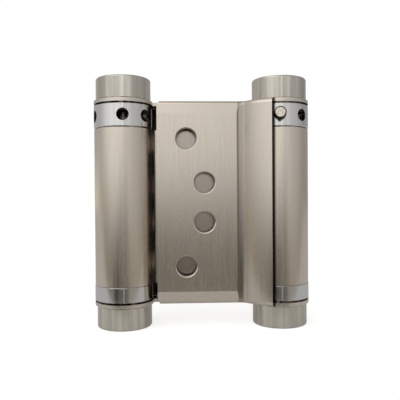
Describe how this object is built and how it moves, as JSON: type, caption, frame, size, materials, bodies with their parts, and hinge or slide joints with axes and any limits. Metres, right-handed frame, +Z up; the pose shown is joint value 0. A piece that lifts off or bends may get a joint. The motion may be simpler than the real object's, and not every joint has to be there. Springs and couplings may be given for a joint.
{
  "type": "double action spring hinge",
  "caption": "Double action spring hinge: steel leaves folded over a rolled web with a sprung barrel at each end.",
  "frame": {"origin": "midway between the two barrels, level with the undersides of the bottom caps", "axes": "+Z up the barrels, +X towards the door leaf's barrel, -Y out of the door leaf's face"},
  "size_m": [0.0814, 0.0315, 0.093],
  "materials": {
    "satin_steel": "satin, brushed upright",
    "turned_steel": "satin, turned",
    "polished_steel": "polished, turned",
    "ground_steel": "ground",
    "washer_steel": "stamped, satin",
    "spring_steel": "oil tempered",
    "pin_steel": "turned"
  },
  "bodies": {
    "frame_side": {"frame_leaf": "satin_steel", "left_top_cap": "turned_steel", "left_bottom_cap": "turned_steel", "left_spindle": "ground_steel", "left_top_washer": "washer_steel", "left_bottom_washer": "washer_steel"},
    "web": {"centre_web": "satin_steel", "right_bottom_collar": "polished_steel", "left_bottom_collar": "polished_steel", "right_spring": "spring_steel", "left_spring": "spring_steel"},
    "door_side": {"door_leaf": "satin_steel", "right_top_cap": "turned_steel", "right_bottom_cap": "turned_steel", "right_spindle": "ground_steel", "right_top_washer": "washer_steel", "right_bottom_washer": "washer_steel"},
    "left_tension": {"left_tension_collar": "polished_steel", "left_stop_pin": "pin_steel"},
    "right_tension": {"right_tension_collar": "polished_steel", "right_stop_pin": "pin_steel"}
  },
  "joints": [
    {"name": "left_barrel_swing", "type": "hinge", "parent": "frame_side", "child": "web", "pos_m": [-0.0297, 0, 0.0465], "axis": [0, 0, 1], "range_deg": [-180, 0], "stiffness_Nm_per_rad": 0.3, "springref_deg": 28.65, "deforming": ["left_spring"]},
    {"name": "right_barrel_swing", "type": "hinge", "parent": "web", "child": "door_side", "pos_m": [0.0297, 0, 0.0465], "axis": [0, 0, 1], "range_deg": [0, 180], "stiffness_Nm_per_rad": 0.3, "springref_deg": -28.65, "deforming": ["right_spring"]},
    {"name": "left_collar_turn", "type": "hinge", "parent": "frame_side", "child": "left_tension", "pos_m": [-0.0297, 0, 0.07855], "axis": [0, 0, 1], "range_deg": [-26.5, 34.5]},
    {"name": "right_collar_turn", "type": "hinge", "parent": "door_side", "child": "right_tension", "pos_m": [0.0297, 0, 0.07855], "axis": [0, 0, 1], "range_deg": [-1.5, 60]}
  ]
}
